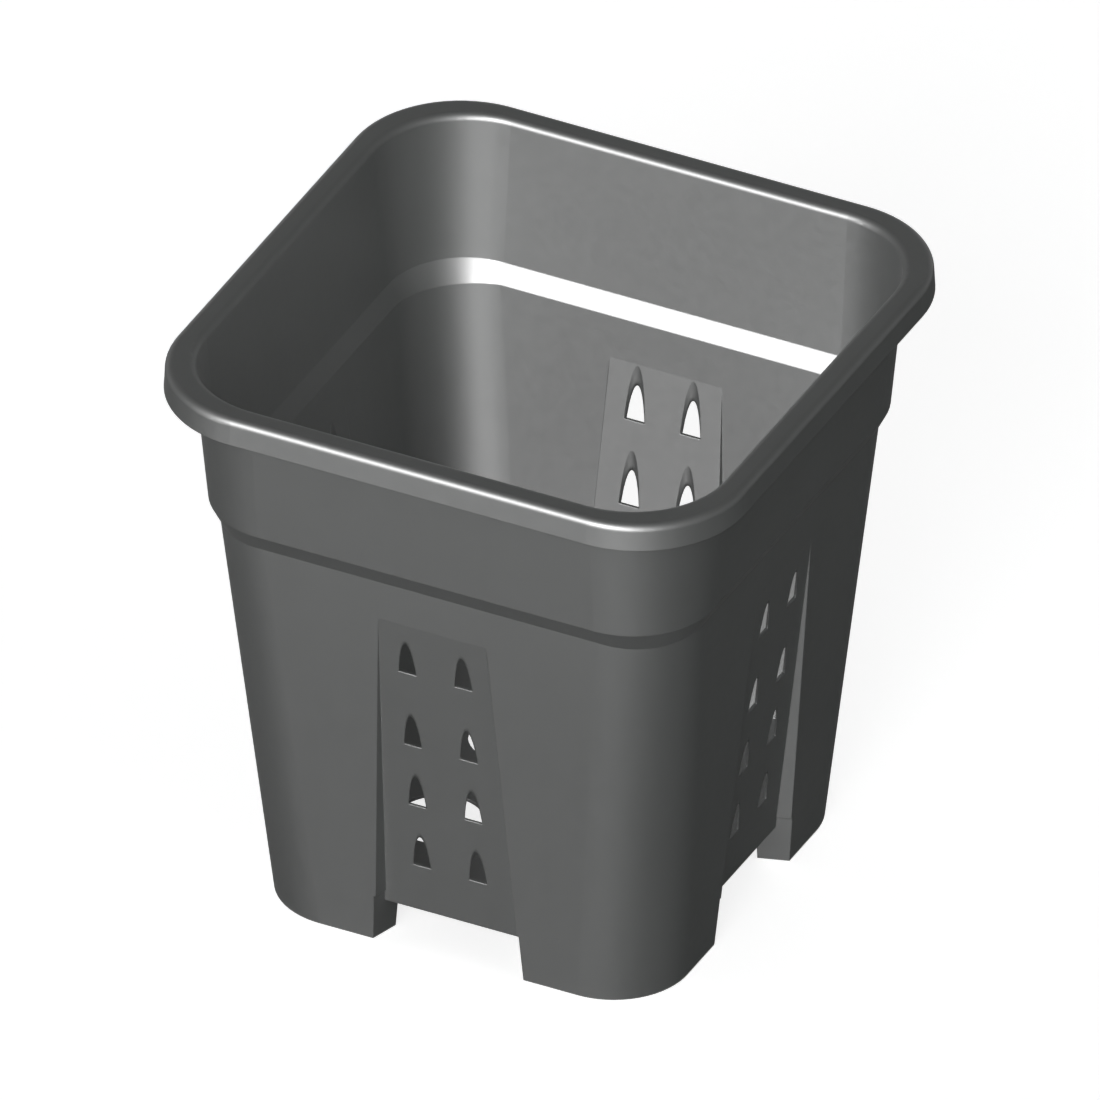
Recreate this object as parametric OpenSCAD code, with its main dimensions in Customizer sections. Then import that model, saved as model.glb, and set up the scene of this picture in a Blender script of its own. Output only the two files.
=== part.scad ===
// Square plastic plant pot with a rolled rim, a step below the rim band and
// four leaning vent panels. It is one injection moulding that stands on four
// hollow corner feet. Millimetres, +Z up, origin on the ground at the centre.

/* [Body] */
// Outer width of the body where it stands on the ground
base_w = 178; // [160:1:190]
// Outer width of the body just below the step
body_top_w = 210; // [200:1:216]
// Height from the ground to the underside of the step
body_h = 181.5; // [172:0.5:200]
// Radius of the body's upright corners
corner_r = 32.4; // [26:0.2:36]
// Thickness of the walls
wall_t = 1.2; // [0.9:0.1:1.8]

/* [Step and band] */
// How far the step stands out on each side
step_out = 4; // [2:0.5:6]
// Height of the step's slope
step_h = 8; // [4:0.5:12]
// Height of the band between the step and the rim's skirt
band_h = 52; // [40:1:64]
// Outer width of the band at the rim's skirt
band_top_w = 228; // [224:1:232]
// Radius of the band's upright corners at the step
band_r = 35; // [30:0.5:40]

/* [Rim] */
// Outer width of the rim at the foot of its skirt
rim_w = 250; // [246:1:256]
// Height of the rim from the foot of its skirt to its top
rim_h = 11.7; // [9:0.1:15]
// How far the skirt leans out towards its foot
skirt_lean = 0.45; // [0:0.05:1]
// Radius of the rim's corners in plan, at the foot of its skirt
rim_r = 46.7; // [40:0.1:52]
// Radius of the rim's outer edge
rim_outer_r = 3.25; // [2:0.25:4.5]
// Radius of the rim's inner edge
rim_inner_r = 3.1; // [2:0.1:4.5]

/* [Vent panels] */
// Height where a panel's face comes out flush with the body
panel_top = 163; // [150:1:170]
// Depth of a panel below the body's face at the ground
panel_depth = 6.9; // [5:0.1:9]
// Width of a panel at its top
panel_top_w = 47.4; // [44:0.2:56]
// Width of a panel at its lower edge
panel_foot_w = 59.3; // [54:0.1:66]
// Angle in plan at which the sides of a panel's recess open outwards
flare = 14; // [8:0.5:26]

/* [Vents] */
// Distance between the two columns of vents
vent_pitch = 24.6; // [20:0.2:28]
// Width of a vent at its flat sill
vent_w = 7.7; // [5:0.1:9]
// Height of a vent from its sill to its point
vent_h = 15; // [10:0.5:18]
// Height of the lowest row's sills above the ground
vent_z = 39; // [30:0.5:42]
// Step from one row up to the next
vent_step = 31; // [26:0.5:32]
// Further step up to the top row
vent_top_gap = 6.2; // [0:0.2:8]
// Number of rows
vent_rows = 4; // [2:1:4]

/* [Floor and feet] */
// Height of the floor's upper face
floor_z = 22.8; // [20:0.2:28]
// Thickness of the floor
floor_t = 1.4; // [1:0.1:2.5]
// Height of the gap between two feet
notch_h = 16.2; // [10:0.2:18]
// Width of that gap on the ground, at the body's face
notch_w = 66; // [63:0.2:70]
// Width of that gap at its top, at the body's face
notch_top_w = 64.2; // [62:0.2:68]
// Angle in plan at which that gap opens outwards
notch_flare = 17; // [8:0.5:26]
// How far a foot's side wall reaches in from the body's face
foot_reach = 12.3; // [10:0.1:18]
// Diameter of a drain hole
drain_d = 35.4; // [16:0.2:40]
// Distance of a drain hole from the middle planes
drain_off = 32.1; // [24:0.1:36]

/* [Hidden] */
$fn = 96;

// Longer than anything in the pot, for cutting blocks
reach = 400;
// How far a cut runs past the faces that it goes through
past = 1;
// How far the step's wall runs down into the body's, to join it
lap = 6;
// How far the pieces of the rim's flat top keep from its two rounded edges
land_lap = 0.5;

body_slope = (body_top_w - base_w) / 2 / body_h;
step_z = body_h + step_h;
skirt_z = step_z + band_h;
pot_h = skirt_z + rim_h;
step_slope = step_out / step_h;
band_foot_w = body_top_w + 2 * step_out;
band_slope = (band_top_w - band_foot_w) / 2 / band_h;

// Half-widths of the squares that the band's and the rim's corners turn round
band_c = band_foot_w / 2 - band_r;
rim_c = rim_w / 2 - rim_r;

// Half-distances from the middle at which the rim's flat top starts and ends
land_in = band_top_w / 2 - wall_t + band_slope * (rim_h - rim_inner_r) + rim_inner_r;
land_out = rim_w / 2 - skirt_lean - rim_outer_r;

// Half-distance of a panel's face from the middle, at height z
function face_at(z) = base_w / 2 - panel_depth + face_slope * z;
face_slope = body_slope + panel_depth / panel_top;

// Half-width of a panel's face, at height z
side_slope = (panel_top_w - panel_foot_w) / 2 / (panel_top - notch_h);
function half_width_at(z) = panel_foot_w / 2 + side_slope * (z - notch_h);

// Slope of a foot's edge along the body's face
notch_slope = (notch_top_w - notch_w) / 2 / notch_h;

// A vent is an upright cylinder that runs out of the leaning face
vent_bite = face_slope * vent_h;
vent_r = (pow(vent_w / 2, 2) + pow(vent_bite, 2)) / 2 / vent_bite;

// A block that fills everything past a plane with normal n through point p
module past_plane(n, p, shift = 0) {
    rotate([0, -asin(n[2] / norm(n)), atan2(n[1], n[0])])
        translate([n * p / norm(n) + shift, -reach, -reach])
            cube(2 * reach);
}

// Everything between two heights
module layer(z0, z1) {
    translate([-reach, -reach, z0])
        cube([2 * reach, 2 * reach, z1 - z0]);
}

// A square block whose four sides lean out, w wide at height zero
module leaning_square(w, slope, z0, z1) {
    module wedge() {
        rotate([90, 0, 0])
            linear_extrude(height = 2 * reach, center = true)
                polygon([[-w / 2 - slope * z0, z0], [w / 2 + slope * z0, z0],
                         [w / 2 + slope * z1, z1], [-w / 2 - slope * z1, z1]]);
    }
    intersection() {
        wedge();
        rotate([0, 0, 90])
            wedge();
    }
}

// The same block with corners of one radius. Each is cut off flat and gets a
// true cylinder that leans along the diagonal and is tangent to both walls
module leaning_block(w, slope, r, z0, z1) {
    lean = atan(slope);
    tilt = atan(slope * sqrt(2));
    half_angle = acos(cos(lean) * cos(tilt) / sqrt(2) + sin(lean) * sin(tilt));
    axis_off = w / 2 - r / cos(lean);
    module at_corners() {
        for (turn = [0 : 90 : 270])
            rotate([0, 0, turn])
                translate([axis_off, axis_off, 0])
                    rotate([0, tilt, 45])
                        translate([0, 0, -reach])
                            linear_extrude(height = 2 * reach)
                                children();
    }
    intersection() {
        union() {
            difference() {
                leaning_square(w, slope, z0, z1);
                at_corners()
                    translate([r * cos(half_angle), -reach])
                        square([reach, 2 * reach]);
            }
            at_corners()
                intersection() {
                    circle(r);
                    polygon([[0, 0], [2 * r, -2 * r * tan(half_angle)],
                             [2 * r, 2 * r * tan(half_angle)]]);
                }
        }
        layer(z0, z1);
    }
}

// Sweeps an outline round a square of half-width c with round corners
module sweep_round(c) {
    for (turn = [0 : 90 : 270])
        rotate([0, 0, turn])
            translate([c, c, 0]) {
                rotate_extrude(angle = 90)
                    children();
                rotate([90, 0, 0])
                    linear_extrude(height = 2 * c)
                        children();
            }
}

// Everything between two planes that mirror each other. One holds point p and
// an edge that goes [x, y] sideways per unit of height, both open outwards by an
// angle in plan, and grow moves them apart
module between_planes(p, edge, angle, grow) {
    opening = tan(angle);
    n = [-opening, 1, opening * edge[0] - edge[1]];
    difference() {
        layer(-reach / 2, reach / 2);
        past_plane(n, p, grow);
        mirror([0, 1, 0])
            past_plane(n, p, grow);
    }
}

// Everything between the two sides of a panel's recess. The panel faces +X
module between_sides(grow) {
    between_planes([face_at(0), half_width_at(0), 0], [face_slope, side_slope],
                   flare, grow);
}

// Everything between the two feet beside it
module between_feet(grow) {
    between_planes([base_w / 2, notch_w / 2, 0], [body_slope, notch_slope],
                   notch_flare, grow);
}

// The space in front of a panel, grown by the wall's thickness for its inside.
// Below the floor it is as wide as the gap between the feet
module recess(grow) {
    intersection() {
        past_plane([1, 0, -face_slope], [face_at(0), 0, 0], -grow);
        union() {
            intersection() {
                between_sides(grow);
                layer(-2 * past, panel_top + past);
            }
            intersection() {
                between_feet(grow);
                layer(-2 * past, floor_z - floor_t);
            }
        }
    }
}

// The side walls of two feet where they run on behind a panel
module foot_returns() {
    intersection() {
        difference() {
            between_feet(wall_t);
            between_feet(0);
        }
        translate([base_w / 2 - foot_reach, -reach, 0])
            cube([foot_reach, 2 * reach, floor_z]);
    }
}

// The gap under a panel between two feet
module notch() {
    intersection() {
        between_feet(0);
        translate([base_w / 2 - foot_reach - past, -reach, -past])
            cube([foot_reach + body_top_w, 2 * reach, notch_h + past]);
    }
}

// One column of vents
module vents() {
    for (row = [0 : vent_rows - 1], side = [-1, 1]) {
        sill = vent_z + row * vent_step + (row == vent_rows - 1 ? vent_top_gap : 0);
        point = sill + vent_h;
        translate([face_at(point) - vent_r, side * vent_pitch / 2, sill])
            cylinder(r = vent_r, h = vent_h + (wall_t + past) / face_slope);
    }
}

// Inside of the body, a wall's thickness in from every face
module body_inside(z0, z1) {
    leaning_block(base_w - 2 * wall_t / cos(atan(body_slope)), body_slope,
                  corner_r - wall_t, z0, z1);
}

// Hollow of the step, which trims the top of the body's wall
module step_hollow() {
    foot = body_top_w / 2 - wall_t - band_c;
    sweep_round(band_c)
        polygon([[0, body_h - lap], [foot - step_slope * lap, body_h - lap],
                 [foot + step_slope * (lap + past), body_h + lap + past],
                 [0, body_h + lap + past]]);
    translate([-band_c, -band_c, body_h - lap])
        cube([2 * band_c, 2 * band_c, 2 * lap + past]);
}

// Body with its recessed panels, floor and feet
module body_wall() {
    difference() {
        leaning_block(base_w, body_slope, corner_r, 0, body_h + lap);
        step_hollow();
        difference() {
            body_inside(-past, body_h + lap + past);
            layer(floor_z - floor_t, floor_z);
            for (turn = [0 : 90 : 270])
                rotate([0, 0, turn]) {
                    recess(wall_t);
                    foot_returns();
                }
        }
        for (turn = [0 : 90 : 270])
            rotate([0, 0, turn]) {
                recess(0);
                notch();
                vents();
                translate([drain_off, drain_off, floor_z - floor_t - past])
                    cylinder(d = drain_d, h = floor_t + 2 * past);
            }
    }
}

// Step and band in section. The step's wall runs on down into the body's
module band_section() {
    foot = body_top_w / 2 - band_c - step_slope * lap;
    polygon([[foot - wall_t, body_h - lap], [foot, body_h - lap],
             [band_r, step_z], [band_top_w / 2 - band_c, skirt_z],
             [band_top_w / 2 - band_c - wall_t, skirt_z], [band_r - wall_t, step_z]]);
}

// A quarter of a disc
module quarter(r) {
    intersection() {
        circle(r);
        square(r);
    }
}

// The inner half of the rolled rim in section, or its hollow when inset
module rim_inner_outline(inset, foot, far) {
    r = rim_inner_r - inset;
    x = land_in - band_c;
    z = pot_h - rim_inner_r;
    polygon([[x - r - band_slope * (z - foot), foot], [x - r, z], [x, z], [x, z + r],
             [far - band_c, z + r], [far - band_c, foot]]);
    translate([x, z])
        mirror([1, 0])
            quarter(r);
}

// The outer half of the rolled rim in section, or its hollow when inset
module rim_outer_outline(inset, foot, near) {
    r = rim_outer_r - inset;
    x = land_out - rim_c;
    z = pot_h - rim_outer_r;
    lean = skirt_lean / (z - skirt_z);
    polygon([[near - rim_c, foot], [near - rim_c, z + r], [x, z + r], [x, z], [x + r, z],
             [x + r + lean * (z - foot), foot]]);
    translate([x, z])
        quarter(r);
}

// Step, band and the rim's inner half, with the corners of the inside
module band_ring() {
    sweep_round(band_c) {
        band_section();
        difference() {
            rim_inner_outline(0, skirt_z, land_out - land_lap);
            rim_inner_outline(wall_t, skirt_z - past, land_out + past);
        }
    }
}

// The rim's outer half and its skirt, with the corners of the outside
module rim_ring() {
    sweep_round(rim_c)
        difference() {
            rim_outer_outline(0, skirt_z, land_in + land_lap);
            rim_outer_outline(wall_t, skirt_z - past, land_in - past);
        }
}

// A square plate with round corners that turn round a square of half-width c
module round_plate(c, half, z0, z1) {
    sweep_round(c)
        translate([0, z0])
            square([half - c, z1 - z0]);
    translate([-c, -c, z0])
        cube([2 * c, 2 * c, z1 - z0]);
}

// The middle of the rim's flat top, which joins the two halves in the corners,
// where their different radii draw them apart
module rim_land() {
    difference() {
        round_plate(rim_c, land_out - 2 * land_lap, pot_h - wall_t, pot_h);
        round_plate(band_c, land_in + 2 * land_lap, pot_h - wall_t - past, pot_h + past);
    }
}

module pot() {
    color("#5c5e5d") {
        body_wall();
        difference() {
            band_ring();
            body_inside(body_h - lap - past, body_h + past);
        }
        rim_land();
        rim_ring();
    }
}

pot();
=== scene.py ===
"""Studio picture of a square plastic plant pot.

The pot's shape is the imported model's own node. This script gives it its moulded
plastic, a pale floor and backdrop, soft light and the photograph's camera.
Lengths are in metres and angles in degrees.
"""
import math

import bpy
from mathutils import Matrix, Vector

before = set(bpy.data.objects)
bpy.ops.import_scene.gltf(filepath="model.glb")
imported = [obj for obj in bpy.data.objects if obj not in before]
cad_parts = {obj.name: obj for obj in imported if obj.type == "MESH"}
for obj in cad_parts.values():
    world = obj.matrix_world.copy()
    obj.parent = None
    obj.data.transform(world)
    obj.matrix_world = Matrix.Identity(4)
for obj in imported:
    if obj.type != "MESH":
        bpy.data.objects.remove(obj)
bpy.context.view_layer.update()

# Camera. Azimuth 0 looks from the front (-Y), 90 from the right (+X).
AZIMUTH = 26.577
ELEVATION = 33.885
FRAME_WIDTH = 0.43251
CENTRE_RIGHT = 0.00019
CENTRE_UP = 0.11651
CAMERA_DISTANCE = 3.0
CAMERA_REACH = 20

# Lamps, all far away: azimuth, elevation, angular radius and strength
KEY = (12, 28, 14, 1.0)
SHEEN = (-8, 20, 9, 25)
LOW_SHEEN = (17, 7, 9, 8.2)
SIDE_FILL = (75, 20, 20, 0.38)
BACK_FILL = (195, 5, 15, 0.9)
LEFT_FILL = (-100, 5, 15, 0.5)
SKY = 0.18

# Floor and backdrop: the grey that lights the pot, then the grey and the glow that are seen
BOUNCE = 0.35
SHADOW_TONE = 0.55
GLOW = 0.8
FLOOR_SIZE = 8
FLOOR_LEVEL = -0.0002
WALL_RADIUS = 4.0
WALL_HEIGHT = 1.2
WALL_SIDES = 64

# Painted shade in reflections, a dark sheet round the pot that only glossy rays see: its low and
# high corner in x and y, its height and its grey
SHADE_SHEET_LOW = (-1.6, -0.34)
SHADE_SHEET_HIGH = (1.6, 1.3)
SHADE_SHEET_HEIGHT = 0.0005
SHADE_SHEET_GREY = 0.18

# Plastic: its two tones, its roughness from polished to dull, its gloss and its soft edges
DARK = (0.0865, 0.0915, 0.0890, 1)
LIGHT = (0.0965, 0.1020, 0.0995, 1)
POLISHED, DULL = 0.465, 0.49
SPECULAR = 0.5
EDGE_RADIUS = 0.0006
EDGE_SAMPLES = 4

# Noises in the plastic, each with its scale and detail
FLOW = (46, 3)
FLOW_STRETCH = (1, 1, 0.16)
FLOW_SHARE = 0.45
CLOUD = (13, 2)
CLOUD_SHARE = 0.55
POLISH = (260, 3)
WAVES = (24, 1)
WAVE_STRENGTH, WAVE_HEIGHT = 1.0, 0.00006
GRAIN = (1500, 1)
GRAIN_STRENGTH, GRAIN_HEIGHT = 0.35, 0.00002
NOISE_LOW, NOISE_HIGH = 0.3, 0.7

# A Mix node's own numbers for its factor, its two colours and its resulting colour
MIX_FACTOR, MIX_A, MIX_B, MIX_RESULT = 0, 6, 7, 2


def direction(azimuth, elevation):
    """Unit vector towards a place in the sky round the pot."""
    a, e = math.radians(azimuth), math.radians(elevation)
    return Vector((math.sin(a) * math.cos(e), -math.cos(a) * math.cos(e), math.sin(e)))


def link(name, data, matrix=None):
    """New object in the scene."""
    thing = bpy.data.objects.new(name, data)
    if matrix:
        thing.matrix_world = matrix
    bpy.context.scene.collection.objects.link(thing)
    return thing


def stage_mesh(name, points, faces, material):
    """Mesh of the stage, which is no part of the pot."""
    mesh = bpy.data.meshes.new(name)
    mesh.from_pydata(points, [], faces)
    mesh.materials.append(material)
    thing = link(name, mesh)
    return thing


def stage_rectangle(name, low, high, z, material):
    """Level rectangle of the stage, from its low to its high corner in x and y."""
    corners = [(low[0], low[1], z), (high[0], low[1], z),
               (high[0], high[1], z), (low[0], high[1], z)]
    return stage_mesh(name, corners, [(0, 1, 2, 3)], material)


def make_camera():
    """The photograph's camera, which shows no perspective."""
    back = direction(AZIMUTH, ELEVATION)
    right = direction(AZIMUTH + 90, 0)
    up = back.cross(right)
    data = bpy.data.cameras.new("camera")
    data.type = "ORTHO"
    data.ortho_scale = FRAME_WIDTH
    data.clip_end = CAMERA_REACH
    turn = Matrix((right, up, back)).transposed().to_4x4()
    place = right * CENTRE_RIGHT + up * CENTRE_UP + back * CAMERA_DISTANCE
    bpy.context.scene.camera = link("camera", data, Matrix.Translation(place) @ turn)


class Nodes:
    """Short hand for building a node tree."""

    def __init__(self, owner):
        owner.use_nodes = True
        self.tree = owner.node_tree
        self.tree.nodes.clear()

    def add(self, kind, **inputs):
        """New node; each named input is a value or another node's output."""
        node = self.tree.nodes.new(kind)
        for name, value in inputs.items():
            self.put(node, name, value)
        return node

    def put(self, node, key, value):
        """Give a node's input, by name or number, a value or another node's output."""
        socket = node.inputs[key]
        if isinstance(value, bpy.types.NodeSocket):
            self.tree.links.new(value, socket)
        else:
            socket.default_value = value

    def plus(self, a, b, clamp=False):
        """Sum of two values."""
        made = self.add("ShaderNodeMath")
        made.operation = "ADD"
        made.use_clamp = clamp
        self.put(made, 0, a)
        self.put(made, 1, b)
        return made.outputs[0]

    def seen(self):
        """1 for the rays that show the background: camera, glossy and transmission rays."""
        path = self.add("ShaderNodeLightPath")
        total = path.outputs["Is Camera Ray"]
        for name in ("Is Glossy Ray", "Is Transmission Ray"):
            total = self.plus(total, path.outputs[name], clamp=True)
        return total

    def noise(self, where, kind):
        """Noise of one kind, which is its scale and its detail."""
        scale, detail = kind
        made = self.add("ShaderNodeTexNoise", Vector=where, Scale=scale, Detail=detail)
        return made.outputs["Fac"]

    def spread(self, noise, low, high):
        """The usual values of a noise, spread from low to high."""
        made = self.add("ShaderNodeMapRange", Value=noise)
        for key, number in (("From Min", NOISE_LOW), ("From Max", NOISE_HIGH),
                            ("To Min", low), ("To Max", high)):
            self.put(made, key, number)
        return made.outputs["Result"]

    def diffuse(self, grey):
        """Matt grey surface."""
        return self.add("ShaderNodeBsdfDiffuse", Color=(grey, grey, grey, 1)).outputs[0]


def pot_plastic():
    """Smooth satin plastic: faint flow of the melt, patches of polish and a very fine grain."""
    mat = bpy.data.materials.new("pot_plastic")
    n = Nodes(mat)
    place = n.add("ShaderNodeTexCoord").outputs["Object"]

    stretched = n.add("ShaderNodeMapping", Vector=place, Scale=FLOW_STRETCH).outputs["Vector"]
    flow = n.spread(n.noise(stretched, FLOW), 0, FLOW_SHARE)
    cloud = n.spread(n.noise(place, CLOUD), 0, CLOUD_SHARE)
    tone = n.add("ShaderNodeMix")
    tone.data_type = "RGBA"
    n.put(tone, MIX_FACTOR, n.plus(flow, cloud))
    n.put(tone, MIX_A, DARK)
    n.put(tone, MIX_B, LIGHT)

    edges = n.add("ShaderNodeBevel", Radius=EDGE_RADIUS)
    edges.samples = EDGE_SAMPLES
    waves = n.add("ShaderNodeBump", Height=n.noise(place, WAVES), Strength=WAVE_STRENGTH,
                  Distance=WAVE_HEIGHT, Normal=edges.outputs["Normal"])
    grain = n.add("ShaderNodeBump", Height=n.noise(place, GRAIN), Strength=GRAIN_STRENGTH,
                  Distance=GRAIN_HEIGHT, Normal=waves.outputs["Normal"])

    polish = n.spread(n.noise(place, POLISH), POLISHED, DULL)
    shader = n.add("ShaderNodeBsdfPrincipled", Roughness=polish, Normal=grain.outputs["Normal"])
    n.put(shader, "Base Color", tone.outputs[MIX_RESULT])
    n.put(shader, "Specular IOR Level", SPECULAR)
    n.add("ShaderNodeOutputMaterial", Surface=shader.outputs[0])
    return mat


def pale_floor():
    """Plain pale floor: white where it is seen, but for the pot's soft shadow."""
    mat = bpy.data.materials.new("pale_floor")
    n = Nodes(mat)
    shown = n.add("ShaderNodeAddShader")
    n.put(shown, 0, n.diffuse(SHADOW_TONE))
    n.put(shown, 1, n.add("ShaderNodeEmission", Strength=GLOW).outputs[0])
    choice = n.add("ShaderNodeMixShader")
    n.put(choice, 0, n.seen())
    n.put(choice, 1, n.diffuse(BOUNCE))
    n.put(choice, 2, shown.outputs[0])
    n.add("ShaderNodeOutputMaterial", Surface=choice.outputs[0])
    return mat


def painted_reflection_shade():
    """Plain dark grey of the sheet that paints shade into the pot's reflections."""
    mat = bpy.data.materials.new("painted_reflection_shade")
    n = Nodes(mat)
    n.add("ShaderNodeOutputMaterial", Surface=n.diffuse(SHADE_SHEET_GREY))
    return mat


def make_stage():
    """Floor, a ring of backdrop round it, and a dark sheet that only reflections show, which
    paints shade into them.
    """
    pale = pale_floor()
    half = FLOOR_SIZE / 2
    stage_rectangle("floor", (-half, -half), (half, half), FLOOR_LEVEL, pale)

    turns = [2 * math.pi * i / WALL_SIDES for i in range(WALL_SIDES)]
    ring = [(WALL_RADIUS * math.cos(a), WALL_RADIUS * math.sin(a)) for a in turns]
    points = [(x, y, z) for z in (0, WALL_HEIGHT) for x, y in ring]
    sides = [(i, (i + 1) % WALL_SIDES) for i in range(WALL_SIDES)]
    faces = [(i, j, WALL_SIDES + j, WALL_SIDES + i) for i, j in sides]
    wall = stage_mesh("backdrop", points, faces, pale)
    wall.visible_shadow = False
    wall.visible_diffuse = False

    # Painted shade in reflections: this dark sheet, seen by glossy rays alone, keeps the floor's
    # glare off the walls, where the photograph shows none
    shade_sheet = stage_rectangle("painted_reflection_shade", SHADE_SHEET_LOW, SHADE_SHEET_HIGH, SHADE_SHEET_HEIGHT, painted_reflection_shade())
    shade_sheet.visible_camera = False
    shade_sheet.visible_shadow = False
    shade_sheet.visible_diffuse = False


def make_lamp(name, azimuth, elevation, radius, strength):
    """Far lamp that shines on the pot from one direction."""
    data = bpy.data.lights.new(name, "SUN")
    data.energy = strength
    data.angle = math.radians(2 * radius)
    turn = direction(azimuth, elevation).to_track_quat("Z", "Y").to_matrix().to_4x4()
    return link(name, data, turn)


def make_light():
    """Key, two sheens for gloss alone, a soft fill from the side, two matt fills and the sky."""
    make_lamp("key", *KEY)
    sheens = [make_lamp("sheen", *SHEEN), make_lamp("low_sheen", *LOW_SHEEN)]
    for lamp in sheens:
        lamp.visible_diffuse = False
    for lamp in sheens + [make_lamp("side_fill", *SIDE_FILL)]:
        lamp.data.use_shadow = False
    for name, spot in (("back_fill", BACK_FILL), ("left_fill", LEFT_FILL)):
        make_lamp(name, *spot).visible_glossy = False
    world = bpy.data.worlds.new("sky")
    n = Nodes(world)
    sky = n.add("ShaderNodeBackground", Color=(1, 1, 1, 1), Strength=SKY)
    n.add("ShaderNodeOutputWorld", Surface=sky.outputs[0])
    bpy.context.scene.world = world


make_camera()
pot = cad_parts["pot"]
pot.data.materials.clear()
pot.data.materials.append(pot_plastic())
make_stage()
make_light()
bpy.context.scene.view_settings.view_transform = "Standard"
